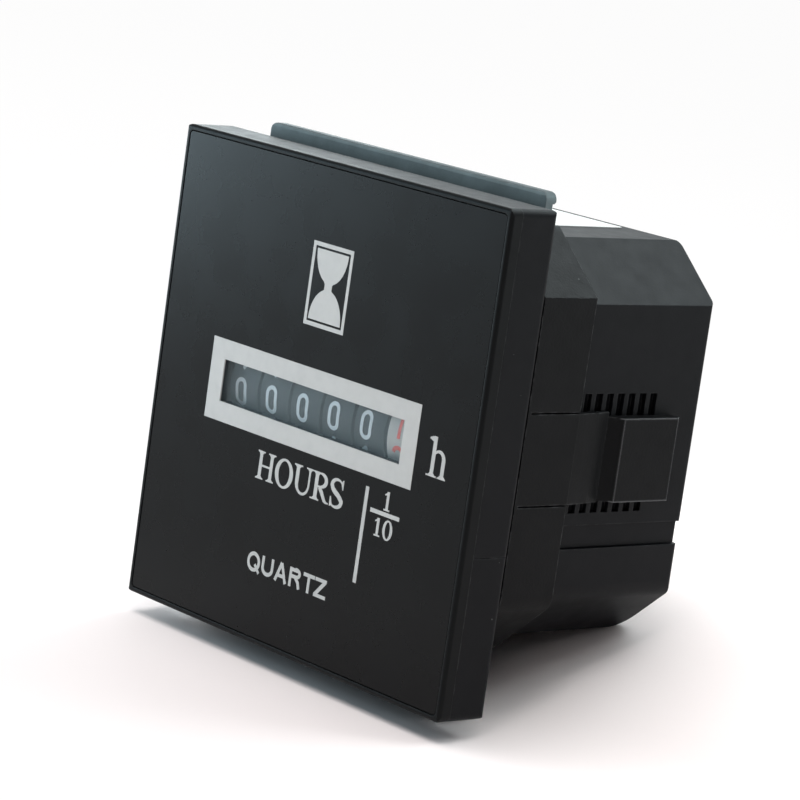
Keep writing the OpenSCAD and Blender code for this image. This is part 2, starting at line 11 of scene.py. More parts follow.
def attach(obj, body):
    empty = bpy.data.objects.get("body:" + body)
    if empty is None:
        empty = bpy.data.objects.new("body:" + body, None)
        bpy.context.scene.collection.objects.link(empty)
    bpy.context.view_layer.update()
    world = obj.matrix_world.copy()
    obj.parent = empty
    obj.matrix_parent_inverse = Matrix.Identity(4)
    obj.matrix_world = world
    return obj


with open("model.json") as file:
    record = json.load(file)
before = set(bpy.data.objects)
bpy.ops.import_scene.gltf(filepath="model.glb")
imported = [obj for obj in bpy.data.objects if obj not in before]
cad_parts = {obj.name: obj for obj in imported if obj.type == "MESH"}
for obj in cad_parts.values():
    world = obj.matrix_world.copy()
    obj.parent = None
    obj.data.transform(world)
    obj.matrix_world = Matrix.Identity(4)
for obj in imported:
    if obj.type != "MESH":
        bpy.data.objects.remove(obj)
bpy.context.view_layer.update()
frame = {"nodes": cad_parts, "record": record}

# Panel hour meter. Lengths are in millimetres in the CAD's frame: x to the right seen from the
# front, y to the rear and z up. MM turns them into Blender's metres.
MM = 0.001
X, Y, Z = 0, 1, 2
WHITE = (1, 1, 1)

# Front of the printed sheet, and the depths behind it between which its cut edge begins
FACE_Y = -5.75
CUT_EDGE = (0.05, 0.07)

# Camera, from the bezel's, the collar's and the housing's corners in the photograph
CAMERA_AT = (251.586, -224.306, 59.489)
CAMERA_RIGHT = (0.65058, 0.74665, 0.13877)
CAMERA_UP = (-0.21847, 0.009, 0.9758)
CAMERA_BACK = (0.72733, -0.66516, 0.16898)
LENS = 159.415
SENSOR = 36
CLIP_NEAR, CLIP_FAR = 10, 20000


def add_object(name, data):
    thing = bpy.data.objects.new(name, data)
    bpy.context.scene.collection.objects.link(thing)
    return thing


def make_camera():
    data = bpy.data.cameras.new("camera")
    data.lens = LENS
    data.sensor_width = SENSOR
    data.clip_start = CLIP_NEAR * MM
    data.clip_end = CLIP_FAR * MM
    camera = add_object("camera", data)
    turn = Matrix((CAMERA_RIGHT, CAMERA_UP, CAMERA_BACK)).transposed().to_4x4()
    camera.matrix_world = Matrix.Translation(Vector(CAMERA_AT) * MM) @ turn
    bpy.context.scene.camera = camera


# Shader nodes

# Sockets of the Mix node that mixes colours
MIX_FACTOR, MIX_A, MIX_B, MIX_RESULT = 0, 6, 7, 2
NOISE_ROUGHNESS = 0.55
BEVEL_SAMPLES = 6
# How far the rounded normal follows the true one where an edge begins to show and where it is full
EDGE_BEGINS, EDGE_FULL = 0.995, 0.86
# Specks: the ragged outline's grain and reach, the narrowest and widest as shares of the grain's
# width, and the direction in which the seed moves the cells
RAGGED_GRAIN, RAGGED_REACH = 0.12, 0.18
SPECK_RADIUS = (0.2, 0.5)
SEED_SHIFT = (1, 0.7, -1)


def empty_tree(owner):
    """The node tree of a material or world, with nothing in it."""
    owner.use_nodes = True
    owner.node_tree.nodes.clear()
    return owner.node_tree


def fill(tree, socket, value):
    """Links the socket to another one, or sets its value."""
    if isinstance(value, bpy.types.NodeSocket):
        tree.links.new(value, socket)
    else:
        socket.default_value = value


def new_node(tree, kind, inputs=None, **settings):
    """Adds a shader node. Inputs has a value or a socket to link for each of its own sockets."""
    node = tree.nodes.new("ShaderNode" + kind)
    for name, value in settings.items():
        setattr(node, name, value)
    for name, value in (inputs or {}).items():
        fill(tree, node.inputs[name], value)
    return node


class Surface:
    """One procedural material, built around a Principled shader."""

    def __init__(self, name, color, roughness, **sockets):
        self.material = bpy.data.materials.new(name)
        self.material.diffuse_color = (*color, 1)
        self.tree = empty_tree(self.material)
        output = self.node("OutputMaterial")
        self.shader = self.node("BsdfPrincipled")
        self.tree.links.new(self.shader.outputs[0], output.inputs[0])
        self.place = self.node("TexCoord").outputs["Object"]
        self.color = (*color, 1)
        self.heights = []
        self.put("Base Color", self.color)
        self.put("Roughness", roughness)
        for name, value in sockets.items():
            self.put(name.replace("_", " "), value)

    def node(self, kind, inputs=None, **settings):
        return new_node(self.tree, kind, inputs, **settings)

    def put(self, name, value):
        """Gives one of the shader's sockets a value or a link."""
        fill(self.tree, self.shader.inputs[name], value)

    def calc(self, operation, a, b=0.0):
        return self.node("Math", {0: a, 1: b}, operation=operation).outputs[0]

    def parts(self, vector):
        """The three coordinates of a vector."""
        return self.node("SeparateXYZ", {0: vector}).outputs

    def spread(self, value, low, high, to_low=0.0, to_high=1.0):
        """Maps a value's range from low to high onto another, and clamps it there."""
        return self.node("MapRange", {
            "Value": value, "From Min": low, "From Max": high, "To Min": to_low, "To Max": to_high,
        }).outputs["Result"]

    def noise(self, size, detail, stretch=None):
        """Noise with features of about that size."""
        place = self.place
        if stretch:
            place = self.node("Mapping", {"Vector": place, "Scale": stretch}).outputs[0]
        return self.node("TexNoise", {
            "Vector": place, "Scale": 1 / (size * MM), "Detail": detail,
            "Roughness": NOISE_ROUGHNESS,
        }).outputs["Fac"]

    def clouds(self, size, detail, *ranges):
        """Noise whose range is mapped as spread() maps it."""
        return self.spread(self.noise(size, detail), *ranges)

    def tint(self, mask, color):
        """Lays another colour over the base where the mask is 1."""
        mix = self.node("Mix", {MIX_FACTOR: mask, MIX_A: self.color, MIX_B: (*color, 1)},
                        data_type="RGBA")
        self.color = mix.outputs[MIX_RESULT]
        self.put("Base Color", self.color)

    def vary_roughness(self, mask, low, high):
        self.put("Roughness", self.spread(mask, 0.3, 0.7, low, high))

    def bump(self, height, depth, strength=1.0):
        """Adds a height of that depth to the surface's relief."""
        self.heights.append((height, depth * MM, strength))

    def rounded(self, radius):
        """The normal, as if the edges had that radius."""
        bevel = self.node("Bevel", {"Radius": radius * MM}, samples=BEVEL_SAMPLES)
        return bevel.outputs[0]

    def edge(self, radius):
        """1 on sharp edges and 0 on flat ground."""
        soft = self.rounded(radius)
        sharp = self.node("NewGeometry").outputs["Normal"]
        follows = self.node("VectorMath", {0: soft, 1: sharp}, operation="DOT_PRODUCT")
        return self.spread(follows.outputs["Value"], EDGE_BEGINS, EDGE_FULL)

    def specks(self, cell, share, grain, seed):
        """Dust: ragged grains up to that wide, in that share of the cells of that size."""
        place = self.node("Mapping", {
            "Vector": self.place, "Location": [seed * shift for shift in SEED_SHIFT],
        }).outputs[0]
        ragged = self.node("TexNoise", {
            "Vector": place, "Scale": 1 / (RAGGED_GRAIN * MM), "Detail": 2.0,
        }).outputs["Color"]
        shake = self.node("VectorMath", {0: ragged, 1: (RAGGED_REACH * MM,) * 3},
                          operation="MULTIPLY").outputs[0]
        place = self.node("VectorMath", {0: place, 1: shake}, operation="ADD").outputs[0]
        cells = self.node("TexVoronoi", {"Vector": place, "Scale": 1 / (cell * MM)}).outputs
        chance = self.node("SeparateColor", {0: cells["Color"]}).outputs
        radius = self.spread(chance[1], 0.0, 1.0, *(part * grain / cell for part in SPECK_RADIUS))
        near = self.calc("LESS_THAN", cells["Distance"], radius)
        few = self.calc("LESS_THAN", chance[0], share)
        return self.calc("MULTIPLY", near, few)

    def finish(self, round_to=0.0):
        """Chains the relief and, where asked, softly rounds the edges' shading."""
        normal = self.rounded(round_to) if round_to else None
        for height, depth, strength in self.heights:
            inputs = {"Height": height, "Distance": depth, "Strength": strength}
            if normal is not None:
                inputs["Normal"] = normal
            normal = self.node("Bump", inputs).outputs[0]
        if normal is not None:
            self.put("Normal", normal)
        return self.material


# Materials

# Black plastics: their specular level, what their edges (partly wear, partly a painted highlight),
# dust and painted sheen turn to, and how much stronger the painted highlight is on the collar's
# sides
PLASTIC_SPECULAR = 0.11
WORN_AND_HIGHLIGHT_PALE = (0.16, 0.165, 0.17)
DUST_PALE = (0.2, 0.21, 0.205)
PAINTED_SHEEN_GREY = (0.19, 0.245, 0.258)
PAINTED_HIGHLIGHT_GAIN = 2.2


def darker(color, shade):
    return [c * shade for c in color]


def painted_sheen_mask(s, low, high):
    """Mask of a painted sheen that grows from one height to the other, above and below the middle.

    It is thinner on faces that look to the rear or up."""
    grey = s.spread(s.calc("ABSOLUTE", s.parts(s.place)[Z]), low * MM, high * MM)
    facing = s.parts(s.node("NewGeometry").outputs["Normal"])
    grey = s.calc("MULTIPLY", grey, s.spread(facing[Y], 0.0, 0.6, 1.0, 0.25))
    grey = s.calc("MULTIPLY", grey, s.spread(facing[Z], 0.4, 0.95, 1.0, 0.4))
    return s.calc("MULTIPLY", grey, s.clouds(2.5, 4, 0.3, 0.7, 0.75, 1.0))


def black_plastic(name, color, roughness, grain, edge_wear_and_highlight, dust, sheen_heights=None, highlight_aside=None):
    """Black moulding: fine grain, faint clouds in colour and gloss, pale edges and a little dust.

    Grain is its size and depth, the next argument how pale the edges are, partly from wear and
    partly as a painted highlight, and each row of dust is what specks() takes. The sheen heights
    are those between which a painted sheen turns the surface grey. The highlight distances are
    those aside between which the edges' painted highlight grows to its strongest."""
    s = Surface(name, color, roughness, Specular_IOR_Level=PLASTIC_SPECULAR)
    s.tint(s.clouds(9, 4, 0.35, 0.75, 0, 0.4), [1.35 * c + 0.0008 for c in color])
    # Painted sheen: a bluish grey over the flanges, mostly on faces that look forward, standing in
    # for reflected light.
    if sheen_heights:
        s.tint(painted_sheen_mask(s, *sheen_heights), PAINTED_SHEEN_GREY)
    # Pale edges, patchy: partly wear, partly a painted highlight where the edges catch light.
    edge = s.calc("MULTIPLY", s.edge(0.22), s.clouds(0.8, 4, 0.42, 0.62))
    # On the collar's sides the edges are paler still: a painted highlight.
    if highlight_aside:
        low, high = highlight_aside
        aside = s.calc("ABSOLUTE", s.parts(s.place)[X])
        edge = s.calc("MULTIPLY", s.edge(0.3),
                      s.spread(aside, low * MM, high * MM, edge, PAINTED_HIGHLIGHT_GAIN))
    s.tint(s.calc("MULTIPLY", edge, edge_wear_and_highlight), WORN_AND_HIGHLIGHT_PALE)
    for row in dust:
        pale = s.clouds(1.5, 2, 0.35, 0.65, 0.3, 1.0)
        s.tint(s.calc("MULTIPLY", s.specks(*row), pale), DUST_PALE)
    s.vary_roughness(s.noise(1.6, 5), roughness - 0.035, roughness + 0.035)
    size, depth = grain
    s.bump(s.noise(size, 2), depth)
    s.bump(s.noise(4, 2), 0.02, 0.5)
    return s.finish(0.12)


def front_sheet():
    """Glossy black sheet, paler where it is cut around the window."""
    s = Surface("front_sheet", (0.0018, 0.0021, 0.0024), 0.27, Specular_IOR_Level=0.12)
    s.tint(s.clouds(14, 3, 0.4, 0.7, 0, 0.5), (0.0032, 0.0037, 0.0041))
    s.tint(s.specks(2.4, 0.012, 0.2, 2.0), (0.09, 0.095, 0.1))
    cut = s.spread(s.parts(s.place)[Y], *((FACE_Y + depth) * MM for depth in CUT_EDGE))
    s.tint(cut, (0.05, 0.06, 0.066))
    s.vary_roughness(s.noise(6, 5), 0.24, 0.31)
    s.bump(s.noise(0.35, 2), 0.0015)
    return s.finish(0.05)


def white_ink():
    s = Surface("white_ink", (0.515, 0.52, 0.505), 0.55)
    s.tint(s.clouds(1.2, 4, 0.4, 0.75, 0, 0.6), (0.46, 0.465, 0.455))
    s.vary_roughness(s.noise(0.8, 3), 0.48, 0.62)
    s.bump(s.noise(0.25, 3), 0.004)
    return s.finish()


def window_pane():
    s = Surface("counter_window", (0.42, 0.54, 0.58), 0.16, Alpha=0.12)
    s.vary_roughness(s.noise(3, 3), 0.1, 0.22)
    s.bump(s.noise(5, 2), 0.004)
    return s.finish()


def bare_label():
    s = Surface("bare_label", (0.62, 0.62, 0.6), 0.5)
    s.tint(s.clouds(0.5, 5, 0.35, 0.7, 0, 0.6), (0.55, 0.555, 0.54))
    s.vary_roughness(s.noise(1.5, 3), 0.42, 0.58)
    s.bump(s.noise(0.18, 4), 0.006)
    return s.finish()


def moulding(name, color, roughness, grain=(0.3, 0.006), shade=0.82, **sockets):
    """Small moulding of the works. Grain is its size and depth, shade the darkest of its clouds."""
    s = Surface(name, color, roughness, **sockets)
    s.tint(s.clouds(2.2, 4, 0.35, 0.7), darker(color, shade))
    s.vary_roughness(s.noise(1.1, 4), roughness - 0.07, roughness + 0.08)
    size, depth = grain
    s.bump(s.noise(size, 3), depth)
    return s.finish(0.05)


def metal(name, color, roughness, brush):
    """Brushed metal with a little tarnish. Brush scales the noise, least along the lines."""
    s = Surface(name, color, roughness, Metallic=1.0)
    lines = s.noise(0.22, 4, brush)
    s.tint(s.spread(lines, 0.35, 0.7), darker(color, 0.8))
    s.tint(s.clouds(1.4, 5, 0.58, 0.75, 0, 0.5), darker(color, 0.55))
    s.vary_roughness(lines, roughness - 0.08, roughness + 0.12)
    s.bump(lines, 0.004)
    return s.finish(0.04)


def copper_winding():
    s = Surface("winding", (0.46, 0.16, 0.055), 0.28, Metallic=0.85, Coat_Weight=0.5,
                Coat_Roughness=0.15)
    turns = s.node("TexWave", {
        "Vector": s.place, "Scale": 1 / (0.6 * MM), "Distortion": 0.35, "Detail": 1.0,
        "Detail Scale": 0.5,
    }, wave_type="BANDS", bands_direction="Z").outputs["Fac"]
    # The grooves between the turns are painted darker: painted shade between the wires.
    s.tint(s.spread(turns, 0.35, 0.0), (0.12, 0.035, 0.012))
    s.tint(s.clouds(1.5, 3, 0.55, 0.7, 0, 0.4), (0.6, 0.26, 0.1))
    s.bump(turns, 0.05)
    return s.finish()


def printed_board():
    s = Surface("board", (0.012, 0.11, 0.045), 0.36, Coat_Weight=0.35, Coat_Roughness=0.2)
    tracks = s.node("TexBrick", {
        "Vector": s.place, "Scale": 1 / (4.2 * MM), "Mortar Size": 0.1, "Mortar Smooth": 0.05,
        "Brick Width": 0.9, "Row Height": 0.45, "Color1": (0, 0, 0, 1), "Color2": (0, 0, 0, 1),
        "Mortar": (*WHITE, 1),
    }).outputs["Fac"]
    s.tint(s.calc("MULTIPLY", tracks, 0.6), (0.05, 0.24, 0.07))
    s.tint(s.clouds(0.6, 4, 0.4, 0.7, 0, 0.4), (0.008, 0.075, 0.03))
    s.bump(tracks, 0.03)
    return s.finish()


def resistor_lacquer():
    """Beige lacquer with four colour rings, each at its place along x."""
    ring_half = 0.22
    rings = ((10.3, (0.25, 0.09, 0.02)), (11.2, (0.01, 0.01, 0.01)),
             (12.1, (0.5, 0.06, 0.02)), (13.2, (0.45, 0.3, 0.06)))
    s = Surface("resistor_lacquer", (0.5, 0.38, 0.22), 0.3, Coat_Weight=0.4, Coat_Roughness=0.12)
    along = s.parts(s.place)[X]
    for centre, color in rings:
        off = s.calc("ABSOLUTE", s.calc("SUBTRACT", along, centre * MM))
        s.tint(s.calc("LESS_THAN", off, ring_half * MM), color)
    s.vary_roughness(s.noise(0.8, 3), 0.24, 0.38)
    s.bump(s.noise(0.5, 3), 0.008)
    return s.finish()


def drum_ink(name, color, cloud_color):
    s = Surface(name, color, 0.5)
    s.tint(s.clouds(0.4, 4, 0.4, 0.7, 0, 0.7), cloud_color)
    return s.finish()


def make_materials():
    """The record's material slots by name, and the drums' two inks."""
    return {
        "bezel_plastic": black_plastic(
            "satin_black_moulding", (0.003, 0.0036, 0.004), 0.46, grain=(0.16, 0.006), edge_wear_and_highlight=0.12,
            dust=[(1.3, 0.03, 0.22, 3.0)]),
        "case_plastic": black_plastic(
            "case_black_moulding", (0.0038, 0.0042, 0.0052), 0.48, grain=(0.2, 0.008), edge_wear_and_highlight=0.15,
            dust=[(1.6, 0.02, 0.18, 9.0)]),
        "collar_plastic": black_plastic(
            "collar_black_moulding", (0.0032, 0.0034, 0.0038), 0.52, grain=(0.26, 0.02), edge_wear_and_highlight=0.4,
            dust=[(0.6, 0.05, 0.16, 5.0), (1.1, 0.05, 0.24, 1.0)],
            sheen_heights=(21, 24.6), highlight_aside=(23.5, 23.65)),
        "faceplate_gloss": front_sheet(),
        "white_print": white_ink(),
        "clear_window": window_pane(),
        "label_paper": bare_label(),
        "frame_plastic": moulding("natural_acetal", (0.62, 0.61, 0.56), 0.42),
        "pinion_plastic": moulding("pinion_acetal", (0.66, 0.6, 0.46), 0.32),
        "wheel_green": moulding("drum_grey_green", (0.014, 0.021, 0.024), 0.5,
                                Specular_IOR_Level=0.2),
        "wheel_white": moulding("drum_white", (0.5, 0.5, 0.48), 0.48, shade=0.9),
        "bobbin_plastic": moulding("bobbin_nylon", (0.7, 0.66, 0.52), 0.4),
        "chip_body": moulding("chip_epoxy", (0.018, 0.018, 0.02), 0.55, grain=(0.08, 0.004)),
        "capacitor_sleeve": moulding("sleeve", (0.02, 0.045, 0.16), 0.28),
        "magnet": moulding("sintered_magnet", (0.06, 0.06, 0.062), 0.62, grain=(0.12, 0.01),
                           Metallic=0.5),
        "steel": metal("bright_steel", (0.56, 0.57, 0.6), 0.26, brush=(0.08, 1, 1)),
        "brass": metal("turned_brass", (0.66, 0.47, 0.17), 0.27, brush=(1, 0.5, 0.5)),
        "terminal_brass": metal("tinned_brass", (0.64, 0.58, 0.42), 0.3, brush=(1, 0.06, 1)),
        "copper_wire": copper_winding(),
        "board": printed_board(),
        "resistor_body": resistor_lacquer(),
        "red_ink": drum_ink("red_ink", (0.78, 0.07, 0.045), (0.66, 0.075, 0.05)),
        "drum_ink": drum_ink("drum_ink", (0.66, 0.74, 0.78), (0.58, 0.66, 0.7)),
    }


# Outlines: every mark is a set of loops of x, z points, whose union less its holes is inked

# A mitre reaches no farther than the pen's half width over this
MITRE_LIMIT = 0.35


def arc(cx, cz, rx, rz, a0, a1, steps):
    """Points on an ellipse from angle a0 to a1 in degrees, counted from +x towards +z."""
    turn = [math.radians(a0 + (a1 - a0) * k / steps) for k in range(steps + 1)]
    return [(cx + rx * math.cos(t), cz + rz * math.sin(t)) for t in turn]


def ring(cx, cz, rx, rz, steps):
    """Points all around an ellipse."""
    return arc(cx, cz, rx, rz, 0, 360, steps)[:-1]


def bar(x0, x1, z0, z1):
    """One upright rectangle, as a list of one loop."""
    return [[(x0, z0), (x1, z0), (x1, z1), (x0, z1)]]


def unit(v):
    length = math.hypot(*v) or 1
    return (v[0] / length, v[1] / length)


def stroke(points, width, closed=False):
    """Loops of a pen along the points, with square ends and mitred joints.

    Width is the pen's, or a list with one for each point."""
    count = len(points)
    widths = width if isinstance(width, list) else [width] * count
    sides = []
    for k, (x, z) in enumerate(points):
        before = points[k - 1] if k or closed else None
        after = points[(k + 1) % count] if k + 1 < count or closed else None
        into = unit((x - before[0], z - before[1])) if before else None
        out = unit((after[0] - x, after[1] - z)) if after else None
        into, out = into or out, out or into
        normal = unit((-(into[1] + out[1]), into[0] + out[0]))
        cosine = normal[0] * -into[1] + normal[1] * into[0]
        reach = widths[k] / 2 / max(MITRE_LIMIT, cosine)
        sides.append(((x + normal[0] * reach, z + normal[1] * reach),
                      (x - normal[0] * reach, z - normal[1] * reach)))
    loops = []
    for k in range(count if closed else count - 1):
        a, b = sides[k], sides[(k + 1) % count]
        loops.append([a[0], a[1], b[1], b[0]])
    return loops


def serif(x0, x1, z, up, thick, stem, flare):
    """Flat serif from the line z, with small fillets towards the stem.

    Up is 1 for a foot's serif, and -1 for one that hangs from the top."""
    stem_left, stem_right = stem
    inner, root = z + up * thick, z + up * (thick + flare * 0.9)
    return [[(x0, z), (x1, z), (x1, inner), (x0, inner)],
            [(stem_left - flare, inner), (stem_right + flare, inner),
             (stem_right, root), (stem_left, root)]]


def slid(loops, shift, scale):
    """The loops stretched along x about the middle, then moved along it."""
    return [[(shift + scale * x, z) for x, z in loop] for loop in loops]


def hours_word():
    """HOURS with serifs: its loops, and the hole of the O."""
    top, base = -5.2, -7.95
    thick, flare = 0.14, 0.2
    foot = partial(serif, z=base, up=1, thick=thick, flare=flare)
    head = partial(serif, z=top, up=-1, thick=thick, flare=flare)
    loops, holes = [], []
    # H
    for x in (-6.15, -4.5):
        stem = (x - 0.225, x + 0.225)
        loops += bar(*stem, base, top)
        loops += foot(x - 0.56, x + 0.56, stem=stem)
        loops += head(x - 0.56, x + 0.56, stem=stem)
    loops += bar(-6.15, -4.5, -6.7, -6.5)
    # O
    centre = (-2.475, -6.6)
    loops.append(ring(*centre, 1.375, 1.45, 40))
    holes.append(ring(*centre, 0.83, 1.22, 40))
    # U
    bowl = [(-0.45, top)] + arc(0.45, -6.9, 0.9, 0.98, 180, 360, 20) + [(1.35, top)]
    pens = [0.5 - 0.24 * math.sin(math.pi / 2 * min(1, k / 10)) for k in range(21)]
    loops += stroke(bowl, [0.5] + pens + [0.28])
    loops += head(-1.05, 0.2, stem=(-0.7, -0.2))
    loops += head(0.8, 1.9, stem=(1.21, 1.49))
    # R
    stem = (2.2, 2.7)
    loops += bar(*stem, base, top)
    loops += foot(1.75, 3.05, stem=stem)
    loops += head(1.6, 2.9, stem=stem)
    bowl = [(2.5, top - 0.09), (2.95, top - 0.09)]
    bowl += arc(2.98, -5.93, 0.88, 0.64, 90, -90, 18) + [(2.5, -6.6)]
    pens = [0.18 + 0.3 * math.sin(math.pi * k / 18) for k in range(19)]
    loops += stroke(bowl, [0.18, 0.18] + pens + [0.18])
    loops += stroke([(2.95, -6.6), (3.35, -7.05), (3.85, -7.72), (4.12, -7.88), (4.5, -7.9)],
                    [0.42, 0.46, 0.4, 0.22, 0.12])
    # S, whose two ends are cut off upright
    spine = [(6.25, -5.62)] + arc(5.52, -5.92, 0.78, 0.62, 28, 180, 14)[1:]
    spine += [(4.95, -6.28), (5.3, -6.52), (5.75, -6.75), (6.1, -7.0)]
    spine += arc(5.48, -7.35, 0.86, 0.58, 12, -150, 16)
    last = len(spine) - 1
    pens = [0.17 + 0.34 * math.sin(math.pi * (k / last)) ** 2 for k in range(len(spine))]
    loops += stroke(spine, pens)
    loops.append([(6.42, -5.2), (6.28, -5.2), (6.05, -5.5), (6.3, -6.15), (6.42, -6.15)])
    loops.append([(4.65, -8.0), (4.78, -8.0), (5.05, -7.75), (4.78, -7.05), (4.65, -7.05)])
    shift, scale = 0.13, 0.992
    return slid(loops, shift, scale), slid(holes, shift, scale)


def quartz_word():
    """QUARTZ, the name of the movement, in plain capitals."""
    top, base, pen = -15.03, -16.92, 0.37
    half = pen / 2
    # Q
    loops = stroke(ring(-5.2, (top + base) / 2, 0.81, 0.8, 36), pen, closed=True)
    loops += stroke([(-5.0, -16.2), (-4.25, -16.95)], 0.32)
    # U
    bowl = arc(-3.025, -16.12, 0.725, 0.6, 180, 360, 18)
    loops += stroke([(-3.75, top)] + bowl + [(-2.3, top)], pen)
    # A
    apex = (-0.925, top)
    loops += stroke([(-1.72, base), apex], pen)
    loops += stroke([(-0.13, base), apex], pen)
    loops.append([(-1.15, top - 0.02), (-0.7, top - 0.02), (-0.925, top - 0.5)])
    loops += bar(-1.5, -0.35, -16.48, -16.13)
    # R
    loops += bar(0.35, 0.35 + pen, base, top)
    bowl = [(0.5, top - half), (1.35, top - half)]
    bowl += arc(1.35, -15.5, 0.52, 0.36, 90, -90, 14) + [(0.5, -15.86)]
    loops += stroke(bowl, 0.36)
    loops += stroke([(1.25, -15.9), (1.72, -16.3), (1.95, base)], pen)
    # T
    loops += bar(2.45, 4.15, top - 0.36, top) + bar(3.3 - half, 3.3 + half, base, top)
    # Z
    loops += bar(4.25, 5.95, top - 0.34, top) + bar(4.2, 6.0, base, base + 0.34)
    loops.append([(4.2, base + 0.3), (4.75, base + 0.3), (5.95, top - 0.3), (5.4, top - 0.3)])
    return slid(loops, 0.15, 0.99)


def hourglass_sign():
    """The frame's outer and inner loops, and the hourglass in it."""
    x0, x1, z0, z1 = -2.59, 3.33, 8.08, 16.11
    frame_w, frame_h = 0.39, 0.4
    outer = bar(x0, x1, z0, z1)
    inner = bar(x0 + frame_w, x1 - frame_w, z0 + frame_h, z1 - frame_h)
    cx = 0.38
    upper = arc(cx, 15.49, 2.3, 3.15, 180, 360, 40)
    lower = arc(cx - 0.02, 8.7, 2.36, 3.1, 0, 180, 40)
    neck = bar(cx - 0.62, cx + 0.46, 11.5, 12.7)
    waist = [(cx - 0.93, 12.7), (cx - 0.62, 12.3), (cx - 0.6, 11.8), (cx - 0.9, 11.35),
             (cx + 0.86, 11.35), (cx + 0.46, 11.8), (cx + 0.46, 12.3), (cx + 0.86, 12.7)]
    return outer, inner, [upper, lower, *neck, waist]


def tenth_mark():
    """The upright line with 1/10 beside it: its loops, and the hole of the 0."""
    line_x, line_half = 9.85, 0.235
    loops = bar(line_x - line_half, line_x + line_half, -14.18, -4.9)
    loops += bar(10.65, 14.8, -7.1, -6.7)
    stem_half, foot_half = 0.175, 0.42
    for x, top, foot in ((12.87, -4.72, -6.55), (11.99, -7.4, -9.15)):
        left, right = x - stem_half, x + stem_half
        loops += bar(left, right, foot, top - 0.02)
        loops += bar(x - foot_half, x + foot_half, foot, foot + 0.15)
        loops.append([(x - 0.45, top - 0.42), (x - 0.45, top - 0.3), (x + 0.1, top),
                      (right, top), (right, top - 0.35), (x - 0.1, top - 0.35)])
    centre = (13.39, -8.285)
    return loops + [ring(*centre, 0.7, 0.965, 36)], [ring(*centre, 0.34, 0.8, 36)]


def h_mark():
    """Small h with serifs."""
    top, base = 1.79, -1.97
    left, right, half = 18.18, 19.6, 0.24
    foot = partial(serif, z=base, up=1, thick=0.16, flare=0.22)
    loops = bar(left - half, left + half, base, top)
    loops += foot(17.45, 18.86, stem=(left - half, left + half))
    loops += foot(right - 0.6, 20.13, stem=(right - half, right + half))
    loops.append([(17.4, top - 0.34), (17.4, top - 0.2), (18.0, top), (left + half, top),
                  (left, top - 0.6)])
    arch = [(left, -0.15)] + arc(18.9, -0.22, 0.7, 0.72, 165, 0, 16) + [(right, base)]
    pens = [0.16 + 0.32 * k / 16 for k in range(17)]
    return loops + stroke(arch, [0.12] + pens + [0.48])


DIGIT_W, DIGIT_H, PEN = 1.66, 2.84, 0.4


def digit_loops(n):
    """Loops of a digit with round corners, centred on the origin."""
    p = PEN
    end_x, end_z = DIGIT_W / 2, DIGIT_H / 2
    # Half the width and height that the middle of the pen covers
    w, h = end_x - p / 2, end_z - p / 2
    if n == 0:
        oval = arc(0, h - w, w, w, 0, 180, 16) + arc(0, w - h, w, w, 180, 360, 16)
        return stroke(oval, p, closed=True)
    if n == 1:
        flag = [(-0.62, h - 0.42), (-0.62, h - 0.1), (-0.05, end_z), (0.1, end_z), (0.1, h - 0.15)]
        return bar(-p / 2, p / 2, -end_z, end_z) + [flag]
    if n == 2:
        line = arc(0, h - w, w, w, 170, -20, 18) + [(w * 0.55, -0.1), (-w, -h)]
        return stroke(line, p) + bar(-end_x, end_x, -end_z, -end_z + p)
    if n == 3:
        up = arc(0, h - w * 0.9, w, w * 0.9, 165, -90, 18)
        low = arc(0, w * 0.98 - h, w, w * 0.98, 90, -165, 18)
        return stroke(up, p) + stroke(low, p) + bar(-0.3, 0.1, 0.02, 0.02 + p * 0.8)
    if n == 4:
        stem, cross = bar(0.25, 0.25 + p, -end_z, end_z), bar(-end_x, end_x, -0.72, -0.72 + p)
        return stem + stroke([(0.42, h + 0.1), (-w, -0.45)], p) + cross
    if n == 5:
        top = bar(-w + 0.05, w, h - p / 2, h + p / 2)
        bowl = arc(-0.02, -0.42, w, h - 0.42, 140, -160, 20)
        return top + stroke([(-w + 0.1, h), (-w + 0.02, 0.05)], p) + stroke(bowl, p)
    if n == 6:
        bowl = stroke(ring(0, -h + 0.66, w, 0.66, 28), p, closed=True)
        return bowl + stroke([(-w, -h + 0.7), (-w * 0.85, 0.15), (0.2, h)], p)
    if n == 7:
        top = bar(-w, w + p / 2, h - p / 2, h + p / 2)
        return top + stroke([(w - 0.02, h), (0.0, -0.1), (-0.18, -end_z)], p)
    if n == 8:
        upper = stroke(ring(0, h - 0.52, w * 0.88, 0.52, 24), p, closed=True)
        return upper + stroke(ring(0, -h + 0.66, w, 0.66, 26), p, closed=True)
    return [[(-x, -z) for x, z in loop] for loop in digit_loops(6)]


# Ink as thin solids

# One printed layer: what is inked, the heights at which it is cut to follow a bent ground, the
# function that turns x, z and a height above the ground into a point, and its lowest and highest
Layer = namedtuple("Layer", "loops holes cuts place low high")
CDT_TRIANGLES, CDT_EPSILON = 0, 1e-5
CUT_OVERHANG = 1

# Ink on the sheet: its height, and how deep it reaches in so that no gap shows
INK, INK_FOOT = 0.012, 0.02
PRINT_SHIFT, PRINT_LEAN, PRINT_STRETCH = 0.035, 0.003, 1.007

# Number drums: their axis and radius, the angle from digit to digit, and the digits' ink
AXIS_Y, AXIS_Z = 0.95, 0.2
DRUM_R = 5.6
PITCH_DEG = 36
DIGIT_INK, DIGIT_FOOT = 0.02, 0.04
DIGIT_CUTS = [-DIGIT_H / 2 + 0.25 * k for k in range(1, 11)]


def turned_left(loop):
    """The loop, counter-clockwise."""
    area = sum(a[0] * b[1] - a[1] * b[0] for a, b in zip(loop, [*loop[1:], loop[0]]))
    return loop if area > 0 else loop[::-1]


